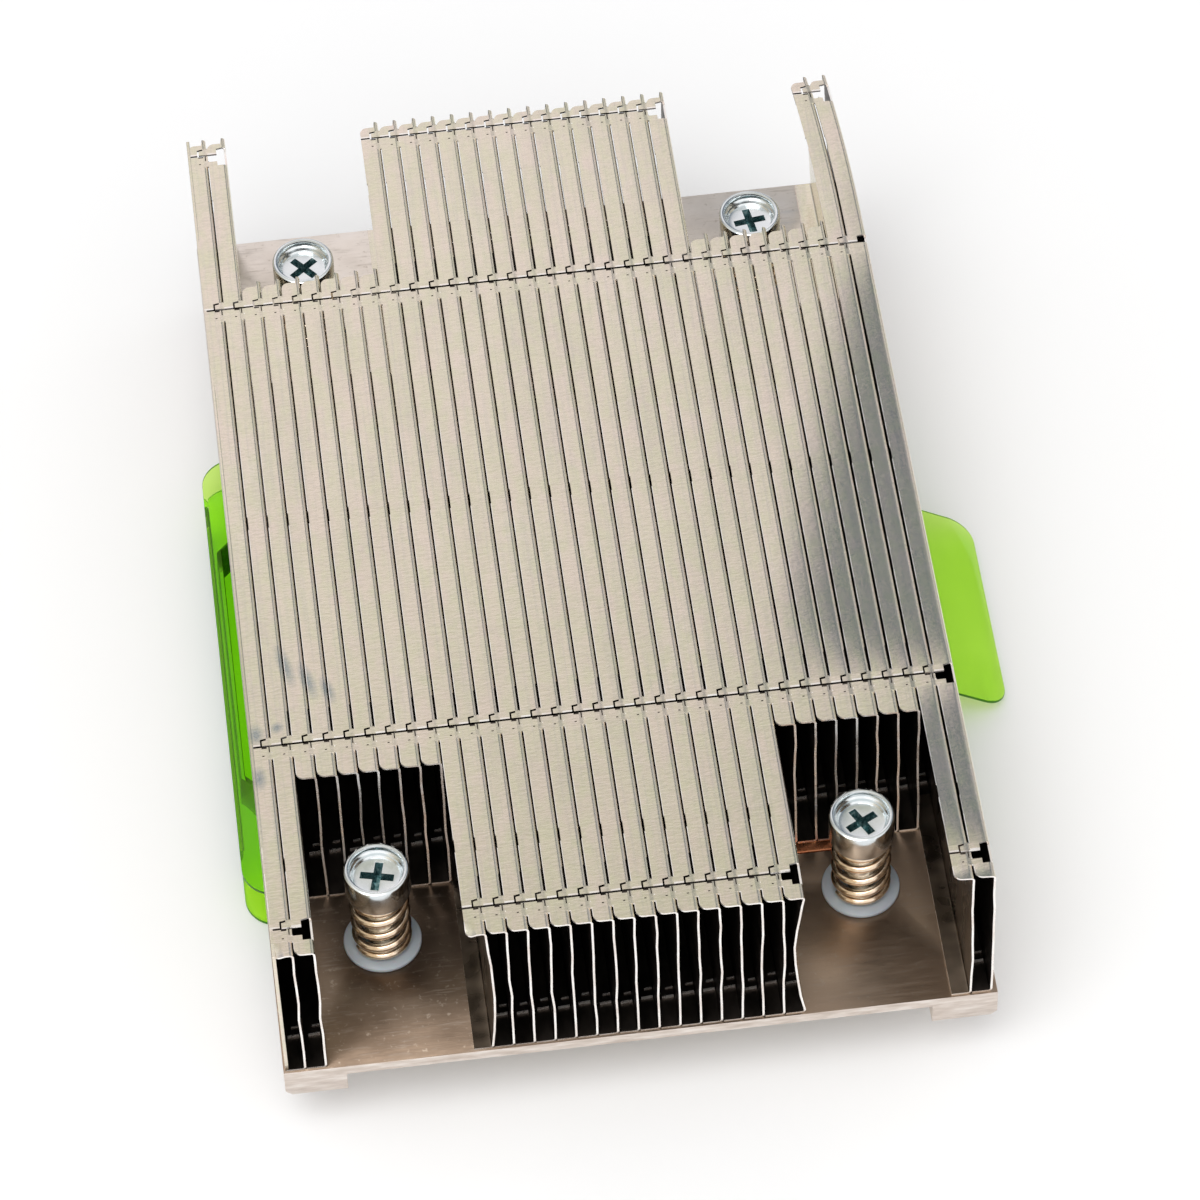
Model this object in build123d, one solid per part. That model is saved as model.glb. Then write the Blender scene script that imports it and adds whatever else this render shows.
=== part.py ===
from build123d import *
import os
from math import atan, cos, degrees, pi, sin

# A passive heatsink for a low server: a stack of folded sheet fins soldered on a base plate,
# with captive spring screws in its four corner notches and a folded plastic cover underneath.
# Millimetres. X runs across the fins, Y along them, Z up. The origin is the middle of the
# screw pattern, on the plane that the cover rests on.

# Folded fins
fin_pitch = 2.4
fin_count = 34
sheet = 0.4
fin_height = 21.2
flange_gap = 0.2
foot_margin = 0.3
end_slant = 1.0
short_end_slant = 1.55
rear_flange_relief = 0.9
notch_room = 8.8
wing_fins = 2
short_fins = 7

# Zipper rows, where each fin hooks into the one on its left
outer_row_inset = 3.25
inner_row_inset = 4.6
tongue_length = 2.6
tongue_reach = 1.1
zipper_clearance = 0.07

# Base plate
plate_length = 127.8
plate_left_margin = 0.25
plate_right_margin = 0.65
plate_thickness = 4.4
lip_thickness = 1.5
left_rail_width = 7.2
right_rail_width = 7.6
rail_chamfer = 0.7
pedestal_width = 80.4
pedestal_length = 37.6
pedestal_drop = 1.9
pedestal_chamfer = 0.6
pedestal_corner = 1.2

# Flattened heat pipe
pipe_width = 8.0
pipe_thickness = 3.0
pipe_bevel = 0.9
pipe_ring_room = 2.2
pipe_bend_radius = 15.5
pipe_bend_x = -11.0
pipe_front_leg_end = 30.0
pipe_rear_leg_end = 27.0
solder_gap = 0.1

# Captive spring screws
screw_span_x = 56.0
screw_span_y = 94.0
head_radius = 3.8
head_height = 4.1
cup_radius = 3.1
cup_depth = 1.5
recess_length = 4.3
recess_width = 1.0
recess_depth = 1.5
shank_radius = 2.05
thread_radius = 2.0
thread_length = 5.0
shank_clearance = 0.08

# Compression springs
spring_outer_radius = 3.5
wire_diameter = 1.0
spring_height = 9.6
spring_turns = 4.5
closed_turns = 0.8
wire_sides = 5
spans_per_turn = 9

# Washers and retaining rings
washer_radius = 4.55
washer_thickness = 0.6
ring_radius = 3.6
ring_thickness = 0.6
ring_clearance = 0.05
ring_room = 1.5

# Protective cover, one folded sheet
cover_sheet = 0.5
cover_height = 6.7
leaf_length = 67.2
leaf_corner = 4.0
leaf_shift = -1.7
leaf_rim = 1.0
pocket_clearance = 0.2
pocket_left_room = 1.8
pocket_corner = 2.0
pocket_floor_gap = 0.2
hinge_end_room = 7.0
tab_length = 29.0
tab_shift = -1.3
tab_reach = 9.1
tab_drop = 5.6
tab_corner = 3.0

# Sizes, levels and places that follow
stack_width = fin_count * fin_pitch
fin_foot_length = plate_length - 2 * foot_margin
fin_head_length = fin_foot_length - 2 * end_slant
short_head_length = screw_span_y - 2 * notch_room
short_foot_length = short_head_length + 2 * short_end_slant
plate_bottom = cover_height
plate_top = plate_bottom + plate_thickness
lip_bottom = plate_top - lip_thickness
fin_top = plate_top + fin_height
stack_left = -stack_width / 2
lip_start = screw_span_y / 2 - ring_radius - ring_room
pipe_front_edge = screw_span_y / 2 - ring_radius - pipe_ring_room
groove_floor = plate_top - pipe_thickness - solder_gap
washer_top = plate_top + washer_thickness
head_bottom = washer_top + spring_height
head_top = head_bottom + head_height
ring_top = lip_bottom
ring_bottom = ring_top - ring_thickness
screw_tip = ring_bottom - thread_length
hole_radius = shank_radius + shank_clearance
window_length = tongue_length + 2 * zipper_clearance
window_width = tongue_reach + zipper_clearance
outer_row = fin_head_length / 2 - outer_row_inset
inner_row = short_head_length / 2 - inner_row_inset
outer_rows = [-outer_row, outer_row]
inner_rows = [-inner_row, inner_row]
screw_places = {
    "front_left": (-screw_span_x / 2, -screw_span_y / 2),
    "front_right": (screw_span_x / 2, -screw_span_y / 2),
    "rear_left": (-screw_span_x / 2, screw_span_y / 2),
    "rear_right": (screw_span_x / 2, screw_span_y / 2),
}


def block(x_range, y_range, z_range):
    """A box between two corners."""
    size = [high - low for low, high in (x_range, y_range, z_range)]
    middle = [(high + low) / 2 for low, high in (x_range, y_range, z_range)]
    return Pos(*middle) * Box(*size)


def is_short(number):
    """Fins beside the corner notches are short; the wings and the middle block are full length."""
    first = wing_fins + 1
    last_short = range(fin_count - wing_fins - short_fins + 1, fin_count - wing_fins + 1)
    return number in range(first, first + short_fins) or number in last_short


def side_outline(foot_length, head_length):
    """The fin seen from its side, as a plate thick enough to trim a whole folded fin."""
    foot, head = foot_length / 2, head_length / 2
    corners = [(-foot, plate_top), (foot, plate_top), (head, fin_top), (-head, fin_top)]
    face = make_face(Plane.YZ * Polyline(*corners, close=True))
    return extrude(face, fin_pitch, both=True)


def folded_section(left):
    """The C of one fin, right face of its web at X = 0, both flanges reaching left to the X given."""
    corners = [
        (left, fin_top),
        (0, fin_top),
        (0, plate_top),
        (left, plate_top),
        (left, plate_top + sheet),
        (-sheet, plate_top + sheet),
        (-sheet, fin_top - sheet),
        (left, fin_top - sheet),
    ]
    return make_face(Plane.XZ * Polyline(*corners, close=True))


def fin_template(left, foot_length, head_length, windows, tongues):
    """One folded fin with its zipper windows and tongues at the rows given."""
    body = extrude(folded_section(left), foot_length / 2, both=True)
    body = body & side_outline(foot_length, head_length)
    flange = (fin_top - sheet, fin_top)
    head = head_length / 2
    relief_y = (head - rear_flange_relief, foot_length / 2)
    body -= block((left, -sheet), relief_y, flange)
    for row in windows:
        window_y = (row - window_length / 2, row + window_length / 2)
        body -= block((-window_width, 0), window_y, flange)
    for row in tongues:
        tongue_y = (row - tongue_length / 2, row + tongue_length / 2)
        body += block((left - flange_gap - tongue_reach, left), tongue_y, flange)
    return body


def place_fin(number):
    """X of the right face of a fin's web; number 0 is the end plate."""
    return stack_left + number * fin_pitch


def make_fins():
    """All folded fins by name; equal ones are copies of one template."""
    middle_first = wing_fins + short_fins + 1
    right_wing_first = fin_count - wing_fins + 1
    templates = {}
    fins = {}
    for number in range(1, fin_count + 1):
        short = is_short(number)
        windows = inner_rows if short else outer_rows + inner_rows
        if number == 1:
            tongues = []
        elif short or number in (middle_first, right_wing_first):
            tongues = inner_rows
        else:
            tongues = outer_rows + inner_rows
        left = flange_gap - fin_pitch + (sheet if number == 1 else 0)
        key = (short, len(windows), len(tongues))
        if key not in templates:
            lengths = (short_foot_length, short_head_length) if short else (fin_foot_length, fin_head_length)
            templates[key] = fin_template(left, *lengths, windows, tongues)
        fins[f"fin_{number:02d}"] = Pos(place_fin(number), 0, 0) * templates[key]
    return fins


def make_end_plate():
    """The flat sheet that closes the left end of the stack."""
    plate = extrude(Plane.YZ * Rectangle(fin_foot_length, fin_height, align=(Align.CENTER, Align.MIN)), sheet)
    plate = Pos(stack_left, 0, plate_top) * plate
    trim = Pos(stack_left, 0, 0) * side_outline(fin_foot_length, fin_head_length)
    return plate & trim


def pipe_path(level):
    """Centre line of the U-shaped pipe, both legs pointing right."""
    front_y = pipe_width / 2 - pipe_front_edge
    rear_y = front_y + 2 * pipe_bend_radius
    front_leg = Line((pipe_front_leg_end, front_y, level), (pipe_bend_x, front_y, level))
    middle = (pipe_bend_x - pipe_bend_radius, front_y + pipe_bend_radius, level)
    bend = ThreePointArc(front_leg @ 1, middle, (pipe_bend_x, rear_y, level))
    rear_leg = Line(bend @ 1, (pipe_rear_leg_end, rear_y, level))
    return Wire([front_leg.edge(), bend.edge(), rear_leg.edge()])


def make_heat_pipe():
    """A round pipe pressed flat, rounded off below and milled flush with the plate above."""
    path = pipe_path(plate_top - pipe_thickness / 2)
    start = Plane(origin=path @ 0, x_dir=(0, -1, 0), z_dir=path % 0)
    section = Rectangle(pipe_width, pipe_thickness)
    section = chamfer(section.vertices().group_by(Axis.Y)[0], pipe_bevel)
    return sweep(start * section, path=path)


def pipe_groove():
    """The channel milled for the pipe, wider and deeper by the solder gap and open at the top."""
    path = pipe_path(plate_top)
    start = Plane(origin=path @ 0, x_dir=(0, -1, 0), z_dir=path % 0)
    depth = plate_top - groove_floor
    section = Rectangle(pipe_width + 2 * solder_gap, 2 * depth)
    channel = sweep(start * section, path=path)
    for end_x, edge in ((pipe_front_leg_end, path @ 0), (pipe_rear_leg_end, path @ 1)):
        half = pipe_width / 2 + solder_gap
        end_y = edge.Y
        channel += block((end_x - solder_gap, end_x + solder_gap), (end_y - half, end_y + half),
                         (groove_floor, plate_top + depth))
    return channel


def make_base_plate():
    """Plate with side rails, thinned ends, a contact pedestal and the pipe's groove."""
    half_y = plate_length / 2
    left, right = stack_left - plate_left_margin, stack_left + stack_width + plate_right_margin
    plate = block((left, right), (-half_y, half_y), (plate_bottom, plate_top))
    low_sides = plate.edges().filter_by(Axis.Y).group_by(Axis.Z)[0]
    plate = chamfer(low_sides, rail_chamfer)
    for end in (-1, 1):
        lip_y = sorted((end * half_y, end * lip_start))
        plate -= block((left + left_rail_width, right - right_rail_width), lip_y, (plate_bottom, lip_bottom))
    pedestal = block((-pedestal_width / 2, pedestal_width / 2), (-pedestal_length / 2, pedestal_length / 2),
                     (plate_bottom - pedestal_drop, plate_bottom))
    pedestal = chamfer(pedestal.edges().filter_by(Axis.Z), pedestal_corner)
    plate += chamfer(pedestal.faces().sort_by(Axis.Z)[0].edges(), pedestal_chamfer)
    for x, y in screw_places.values():
        plate -= Pos(x, y, lip_bottom) * Cylinder(hole_radius, lip_thickness, align=(Align.CENTER, Align.CENTER, Align.MIN))
    return plate - pipe_groove()


def make_screw(x, y):
    """Spring screw: cupped head with a cross recess, plain shank, threaded end below the ring."""
    outline = [
        (0, screw_tip),
        (thread_radius, screw_tip),
        (thread_radius, ring_bottom),
        (shank_radius, ring_bottom),
        (shank_radius, head_bottom),
        (head_radius, head_bottom),
        (head_radius, head_top),
        (cup_radius, head_top),
        (cup_radius, head_top - cup_depth),
        (0, head_top - cup_depth),
    ]
    screw = revolve(make_face(Plane.XZ * Polyline(*outline, close=True)), Axis.Z)
    cross = Rectangle(recess_length, recess_width) + Rectangle(recess_width, recess_length)
    screw -= Pos(0, 0, head_top - cup_depth - recess_depth) * extrude(cross, recess_depth)
    return Pos(x, y, 0) * screw


def spring_angles():
    """Turn and height of each corner of the wire's centre line; the end turns lie closed."""
    rise_start = washer_top + wire_diameter / 2
    rise_end = head_bottom - wire_diameter / 2
    free_turns = spring_turns - 2 * closed_turns
    closed_rise = closed_turns * wire_diameter
    corners = []
    spans = round(spring_turns * spans_per_turn)
    for step in range(spans + 1):
        turn = step / spans * spring_turns
        low = min(turn, closed_turns) / closed_turns * closed_rise
        high = max(turn - spring_turns + closed_turns, 0) / closed_turns * closed_rise
        free = min(max(turn - closed_turns, 0), free_turns) / free_turns
        rise = low + high + free * (rise_end - rise_start - 2 * closed_rise)
        corners.append((turn * 2 * pi, rise_start + rise))
    return corners


def make_spring(x, y):
    """Coil of round wire drawn with straight spans, flush between the washer and the head."""
    middle = spring_outer_radius - wire_diameter / 2
    points = [(middle * cos(angle), middle * sin(angle), z) for angle, z in spring_angles()]
    path = Polyline(*points)
    start = Plane(origin=path @ 0, x_dir=(1, 0, 0), z_dir=path % 0)
    section = RegularPolygon(wire_diameter / 2, wire_sides, rotation=90)
    wire = sweep(start * section, path=path, transition=Transition.RIGHT)
    return Pos(x, y, 0) * wire


def make_washers():
    """Four plain plastic washers, one under each spring."""
    ring = Circle(washer_radius) - Circle(hole_radius)
    return [Pos(x, y, plate_top) * extrude(ring, washer_thickness) for x, y in screw_places.values()]


def make_ring(x, y):
    """Open retaining ring pushed on the shank, which stops the screw under the plate."""
    bore = shank_radius + ring_clearance
    ring = Circle(ring_radius) - Circle(bore)
    ring -= Pos(0, -ring_radius / 2) * Rectangle(2 * bore, ring_radius)
    return Pos(x, y, ring_bottom) * extrude(ring, ring_thickness)


def make_cover():
    """Sheet folded over at its left edge: pocketed upper leaf, hinge wall, flat lower leaf, tab."""
    inner_x = pedestal_width + pocket_clearance + pocket_left_room
    inner_y = pedestal_length + 2 * pocket_clearance
    outer_x, outer_y = inner_x + 2 * cover_sheet, inner_y + 2 * cover_sheet
    middle_x = (pocket_clearance - pocket_left_room) / 2
    left, right = middle_x - outer_x / 2 - leaf_rim, middle_x + outer_x / 2 + leaf_rim

    leaf = Pos(middle_x, leaf_shift) * RectangleRounded(right - left, leaf_length, leaf_corner)
    lower = extrude(leaf, cover_sheet)
    upper = Pos(0, 0, cover_height - cover_sheet) * extrude(leaf, cover_sheet)
    hinge_half = leaf_length / 2 - hinge_end_room
    hinge = block((left, left + cover_sheet), (leaf_shift - hinge_half, leaf_shift + hinge_half), (0, cover_height))

    floor = cover_sheet + pocket_floor_gap
    shell = chamfer(Rectangle(outer_x, outer_y).vertices(), pocket_corner)
    shell = Pos(middle_x, 0, floor) * extrude(shell, cover_height - floor)
    well = chamfer(Rectangle(inner_x, inner_y).vertices(), pocket_corner - cover_sheet)
    well = Pos(middle_x, 0, floor + cover_sheet) * extrude(well, cover_height)

    slope = tab_drop / tab_reach
    tab_outline = [
        (right, cover_height - cover_sheet),
        (right, cover_height),
        (right + tab_reach, cover_height - tab_drop),
        (right + tab_reach, cover_height - tab_drop - cover_sheet),
    ]
    tab = extrude(make_face(Plane.XZ * Polyline(*tab_outline, close=True)), tab_length / 2, both=True)
    tab_plan = RectangleRounded(2 * tab_reach, tab_length, tab_corner)
    tab = Pos(0, tab_shift, 0) * tab
    tab = tab & Pos(right, tab_shift, 0) * extrude(tab_plan, cover_height)
    return (lower + upper + hinge + shell + tab) - well


def write_step(solid, node):
    """One file for each sub-part, named after it."""
    export_step(Compound(children=solid) if isinstance(solid, list) else solid, f"parts/{node}.step")


def main():
    os.makedirs("parts", exist_ok=True)
    nodes = {"base_plate": make_base_plate(), "heat_pipe": make_heat_pipe(), "end_plate": make_end_plate()}
    nodes.update(make_fins())
    nodes["protective_cover"] = make_cover()
    nodes["spring_washers"] = make_washers()
    for place, (x, y) in screw_places.items():
        nodes[f"screw_{place}"] = make_screw(x, y)
        nodes[f"spring_{place}"] = make_spring(x, y)
        nodes[f"retaining_ring_{place}"] = make_ring(x, y)
    for node, solid in nodes.items():
        write_step(solid, node)


main()
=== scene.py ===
import math
import random

import bmesh
import bpy
from mathutils import Matrix, Vector, noise


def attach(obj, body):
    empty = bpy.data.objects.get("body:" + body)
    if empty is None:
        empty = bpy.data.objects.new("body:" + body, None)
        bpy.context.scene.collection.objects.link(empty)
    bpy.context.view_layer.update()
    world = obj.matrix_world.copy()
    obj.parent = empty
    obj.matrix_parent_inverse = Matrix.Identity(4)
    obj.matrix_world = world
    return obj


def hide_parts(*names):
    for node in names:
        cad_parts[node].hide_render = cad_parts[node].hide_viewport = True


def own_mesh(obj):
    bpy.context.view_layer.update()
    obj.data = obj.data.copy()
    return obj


# The looks of a passive heatsink: folded fins with their zipper rows, plated base, copper pipe,
# spring screws and the green cover. Sizes are in millimetres and become metres in the meshes.

MM = 0.001

# Sizes repeated from the CAD source
FIN_PITCH = 2.4
FIN_COUNT = 34
STACK_LEFT = -40.8
PLATE_TOP = 11.1
FIN_TOP = 32.3
SHEET = 0.24
FLANGE_GAP = 0.09
FULL_ENDS = (-62.6, 62.6)
SHORT_ENDS = (-38.2, 38.2)
FULL_FOOT = 63.6
SHORT_FOOT = 39.75
REAR_RELIEF = 0.9
OUTER_ROWS = (-59.35, 59.35)
INNER_ROWS = (-33.6, 33.6)
SHORT_FINS = set(range(3, 10)) | set(range(26, 33))
SCREWS = {
    "front_left": (-28.0, -47.0),
    "front_right": (28.0, -47.0),
    "rear_left": (-28.0, 47.0),
    "rear_right": (28.0, 47.0),
}
WASHER_TOP = 11.7
HEAD_BOTTOM = 21.3
HEAD_TOP = 25.4
SCREW_TIP = 4.0
LIP_BOTTOM = 9.6
RING_THICKNESS = 0.6

# The camera, found by fitting the photograph
CAMERA_PLACE = (-0.03677, -0.43495, 0.55939)
CAMERA_AIM = (0.002436, -0.007405, 0.02)
CAMERA_ROLL = -2.19
CAMERA_LENS = 173.23
SENSOR = 36.0


def material(name):
    """A new node material and its Principled shader."""
    made = bpy.data.materials.new(name)
    made.use_nodes = True
    return made, made.node_tree, made.node_tree.nodes["Principled BSDF"]


def node(tree, kind, **values):
    """A shader node with attributes and input values set by name."""
    made = tree.nodes.new(kind)
    for key, value in values.items():
        if key in made.inputs:
            made.inputs[key].default_value = value
        else:
            setattr(made, key, value)
    return made


def stretched_noise(tree, scale, stretch, detail=3.0, roughness=0.55):
    """Noise in the shared frame, finer along the axes with the larger stretch."""
    place = node(tree, "ShaderNodeTexCoord")
    mapping = node(tree, "ShaderNodeMapping")
    mapping.inputs["Scale"].default_value = stretch
    texture = node(tree, "ShaderNodeTexNoise", Scale=scale, Detail=detail, Roughness=roughness)
    tree.links.new(place.outputs["Object"], mapping.inputs["Vector"])
    tree.links.new(mapping.outputs["Vector"], texture.inputs["Vector"])
    return texture.outputs["Fac"]


def ramp(tree, factor, stops):
    """Colours along a factor."""
    made = tree.nodes.new("ShaderNodeValToRGB")
    elements = made.color_ramp.elements
    while len(elements) < len(stops):
        elements.new(0.5)
    for element, (place, colour) in zip(elements, stops):
        element.position = place
        element.color = (*colour, 1.0)
    tree.links.new(factor, made.inputs["Fac"])
    return made.outputs["Color"]


def to_range(tree, factor, low, high, low_in=0.3, high_in=0.7):
    """A factor spread over another range."""
    made = node(tree, "ShaderNodeMapRange")
    made.inputs["From Min"].default_value = low_in
    made.inputs["From Max"].default_value = high_in
    made.inputs["To Min"].default_value = low
    made.inputs["To Max"].default_value = high
    tree.links.new(factor, made.inputs["Value"])
    return made.outputs["Result"]


def bump(tree, shader, height, strength, distance):
    """Fine relief on a shader."""
    made = node(tree, "ShaderNodeBump", Strength=strength, Distance=distance)
    tree.links.new(height, made.inputs["Height"])
    tree.links.new(made.outputs["Normal"], shader.inputs["Normal"])


def mixed(tree, factor, first, second, mode="MIX"):
    """Two colours mixed; each may be an output or a plain colour."""
    made = tree.nodes.new("ShaderNodeMix")
    made.data_type = "RGBA"
    made.blend_type = mode
    for socket, value in ((made.inputs["Factor"], factor), (made.inputs["A"], first), (made.inputs["B"], second)):
        if isinstance(value, bpy.types.NodeSocket):
            tree.links.new(value, socket)
        elif isinstance(value, float):
            socket.default_value = value
        else:
            socket.default_value = (*value, 1.0)
    return made.outputs["Result"]


# Blue-grey smudges on the tops: middle, half widths and turn, in millimetres and radians
SMUDGES = (
    ((-35.8, -21.8), (0.9, 3.4), 0.22),
    ((-33.4, -24.2), (0.9, 3.0), 0.22),
    ((-31.2, -25.9), (0.8, 2.2), 0.22),
    ((-40.0, -31.3), (1.0, 1.6), 0.0),
    ((-37.5, -30.6), (0.8, 0.9), -0.6),
    ((-40.1, -37.6), (0.9, 1.8), 0.0),
)
SMUDGE_DEPTH = 1.5


def spot_factor(tree, centre, reach, turn):
    """A factor that is 1 in the middle of an oval place on the tops and falls to 0 at its rim."""
    place = node(tree, "ShaderNodeTexCoord")
    mapping = node(tree, "ShaderNodeMapping", vector_type="TEXTURE")
    mapping.inputs["Location"].default_value = (centre[0] * MM, centre[1] * MM, FIN_TOP * MM)
    mapping.inputs["Rotation"].default_value = (0.0, 0.0, turn)
    mapping.inputs["Scale"].default_value = (reach[0] * MM, reach[1] * MM, SMUDGE_DEPTH * MM)
    tree.links.new(place.outputs["Object"], mapping.inputs["Vector"])
    length = node(tree, "ShaderNodeVectorMath", operation="LENGTH")
    tree.links.new(mapping.outputs["Vector"], length.inputs[0])
    return to_range(tree, length.outputs["Value"], 1.0, 0.0, 0.2, 1.1)


def fin_material():
    """Nickel-plated sheet: warm grey with pale patches, streaks and fine ticks across each fin."""
    made, tree, shader = material("fin_metal")
    stains = stretched_noise(tree, 190.0, (1.0, 0.30, 1.0), 4.0)
    patches = stretched_noise(tree, 620.0, (1.0, 0.7, 1.0), 3.0)
    ticks = stretched_noise(tree, 3300.0, (0.34, 1.0, 1.0), 2.0)
    grain = stretched_noise(tree, 5200.0, (1.0, 1.0, 1.0), 2.0)
    warm = ramp(tree, stains, ((0.3, (0.72, 0.66, 0.56)), (0.5, (0.78, 0.71, 0.59)), (0.72, (0.82, 0.75, 0.64))))
    tinted = mixed(tree, to_range(tree, patches, 0.0, 0.75, 0.36, 0.62), warm, (0.74, 0.72, 0.54))
    pink = stretched_noise(tree, 480.0, (1.0, 0.35, 1.0), 2.0)
    tinted = mixed(tree, to_range(tree, pink, 0.0, 0.6, 0.45, 0.66), tinted, (0.83, 0.71, 0.64))
    streaks = stretched_noise(tree, 2600.0, (1.0, 0.02, 1.0), 2.0)
    tinted = mixed(tree, to_range(tree, streaks, 0.0, 0.22, 0.5, 0.68), tinted, (0.56, 0.55, 0.52))
    colour = mixed(tree, to_range(tree, ticks, 0.0, 0.16, 0.46, 0.66), tinted, (0.50, 0.47, 0.42))
    for centre, reach, turn in SMUDGES:
        spot = spot_factor(tree, centre, reach, turn)
        rough_spot = node(tree, "ShaderNodeMath", operation="MULTIPLY")
        tree.links.new(spot, rough_spot.inputs[0])
        tree.links.new(to_range(tree, grain, 0.55, 1.0), rough_spot.inputs[1])
        colour = mixed(tree, rough_spot.outputs[0], colour, (0.30, 0.35, 0.38))
    tree.links.new(colour, shader.inputs["Base Color"])
    tree.links.new(to_range(tree, grain, 0.17, 0.26), shader.inputs["Roughness"])
    shader.inputs["Metallic"].default_value = 1.0
    bump(tree, shader, ticks, 0.22, 0.00006)
    return made


def inside_material():
    """The sheet inside the channels, dull and dark from soldering, with cloudy residue."""
    made, tree, shader = material("fin_inside")
    cloud = stretched_noise(tree, 260.0, (1.0, 0.5, 1.6), 4.0)
    colour = ramp(tree, cloud, ((0.35, (0.036, 0.031, 0.027)), (0.62, (0.085, 0.07, 0.06))))
    tree.links.new(colour, shader.inputs["Base Color"])
    tree.links.new(to_range(tree, cloud, 0.34, 0.5), shader.inputs["Roughness"])
    shader.inputs["Metallic"].default_value = 1.0
    return made


def beside_material():
    """The sheet's inner side next to a notch, brownish and streaked but not dark."""
    made, tree, shader = material("fin_beside")
    streaks = stretched_noise(tree, 140.0, (1.0, 1.6, 0.3), 2.0)
    colour = ramp(tree, streaks, ((0.35, (0.10, 0.078, 0.058)), (0.65, (0.27, 0.215, 0.165))))
    tree.links.new(colour, shader.inputs["Base Color"])
    tree.links.new(to_range(tree, streaks, 0.22, 0.4), shader.inputs["Roughness"])
    shader.inputs["Metallic"].default_value = 1.0
    return made


def edge_material():
    """The sheet's cut edges: bright, faintly pink and uneven."""
    made, tree, shader = material("fin_edge")
    wear = stretched_noise(tree, 420.0, (1.0, 1.0, 1.0), 2.0)
    colour = ramp(tree, wear, ((0.25, (0.80, 0.71, 0.65)), (0.5, (0.93, 0.88, 0.84)), (0.7, (1.0, 0.98, 0.95))))
    tree.links.new(colour, shader.inputs["Base Color"])
    tree.links.new(to_range(tree, wear, 0.15, 0.4), shader.inputs["Roughness"])
    shader.inputs["Metallic"].default_value = 0.75
    return made


def place_factor(tree, axis, low, high):
    """A factor that grows from 0 to 1 between two places along an axis, in metres."""
    place = node(tree, "ShaderNodeTexCoord")
    parts = node(tree, "ShaderNodeSeparateXYZ")
    tree.links.new(place.outputs["Object"], parts.inputs[0])
    return to_range(tree, parts.outputs[axis], 0.0, 1.0, low, high)


def base_material():
    """The plated plate's upper side: brown from flux at the front, paler at the rear, finely scratched."""
    made, tree, shader = material("plated_base")
    stains = stretched_noise(tree, 150.0, (1.0, 1.0, 1.0), 5.0)
    specks = stretched_noise(tree, 1500.0, (1.0, 1.0, 1.0), 3.0)
    scratches = stretched_noise(tree, 1300.0, (0.25, 2.2, 1.0), 3.0)
    brown = ramp(tree, stains, ((0.3, (0.125, 0.088, 0.062)), (0.55, (0.175, 0.126, 0.090)), (0.75, (0.22, 0.165, 0.12))))
    brown = mixed(tree, place_factor(tree, "X", 0.010, 0.022), brown, (0.37, 0.27, 0.195))
    pale = ramp(tree, stains, ((0.3, (0.72, 0.65, 0.58)), (0.55, (0.84, 0.77, 0.70)), (0.75, (0.90, 0.84, 0.79))))
    colour = mixed(tree, place_factor(tree, "Y", -0.02, 0.03), brown, pale)
    colour = mixed(tree, to_range(tree, specks, 0.0, 0.45, 0.62, 0.74), colour, (0.42, 0.35, 0.28))
    colour = mixed(tree, to_range(tree, scratches, 0.0, 0.35, 0.56, 0.72), colour, (0.36, 0.30, 0.25))
    tree.links.new(colour, shader.inputs["Base Color"])
    tree.links.new(to_range(tree, scratches, 0.28, 0.42), shader.inputs["Roughness"])
    shader.inputs["Metallic"].default_value = 0.93
    bump(tree, shader, scratches, 0.16, 0.00008)
    return made


def side_material():
    """The plate's milled sides: pinkish plating with fine tool marks."""
    made, tree, shader = material("plated_sides")
    marks = stretched_noise(tree, 500.0, (0.5, 0.5, 3.0), 3.0)
    colour = ramp(tree, marks, ((0.3, (0.50, 0.42, 0.36)), (0.5, (0.64, 0.56, 0.50)), (0.7, (0.78, 0.72, 0.67))))
    tree.links.new(colour, shader.inputs["Base Color"])
    tree.links.new(to_range(tree, marks, 0.35, 0.5), shader.inputs["Roughness"])
    shader.inputs["Metallic"].default_value = 0.45
    bump(tree, shader, marks, 0.2, 0.0001)
    return made


def copper_material():
    """Bare copper, a little tarnished."""
    made, tree, shader = material("copper")
    tarnish = stretched_noise(tree, 260.0, (1.0, 1.0, 1.0), 4.0)
    colour = ramp(tree, tarnish, ((0.3, (0.50, 0.16, 0.07)), (0.7, (0.86, 0.40, 0.20))))
    tree.links.new(colour, shader.inputs["Base Color"])
    tree.links.new(to_range(tree, tarnish, 0.22, 0.4), shader.inputs["Roughness"])
    shader.inputs["Metallic"].default_value = 1.0
    return made


def zinc_material():
    """Bright bluish zinc on the screws."""
    made, tree, shader = material("zinc_steel")
    haze = stretched_noise(tree, 500.0, (1.0, 1.0, 1.0), 3.0)
    colour = ramp(tree, haze, ((0.3, (0.66, 0.71, 0.73)), (0.7, (0.84, 0.87, 0.88))))
    tree.links.new(colour, shader.inputs["Base Color"])
    tree.links.new(to_range(tree, haze, 0.10, 0.22), shader.inputs["Roughness"])
    shader.inputs["Metallic"].default_value = 1.0
    return made


def spring_material():
    """Gold-coloured plating on the spring wire."""
    made, tree, shader = material("spring_wire")
    haze = stretched_noise(tree, 700.0, (1.0, 1.0, 1.0), 3.0)
    colour = ramp(tree, haze, ((0.3, (0.70, 0.52, 0.36)), (0.7, (0.93, 0.79, 0.62))))
    tree.links.new(colour, shader.inputs["Base Color"])
    tree.links.new(to_range(tree, haze, 0.14, 0.26), shader.inputs["Roughness"])
    shader.inputs["Metallic"].default_value = 1.0
    return made


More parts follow.
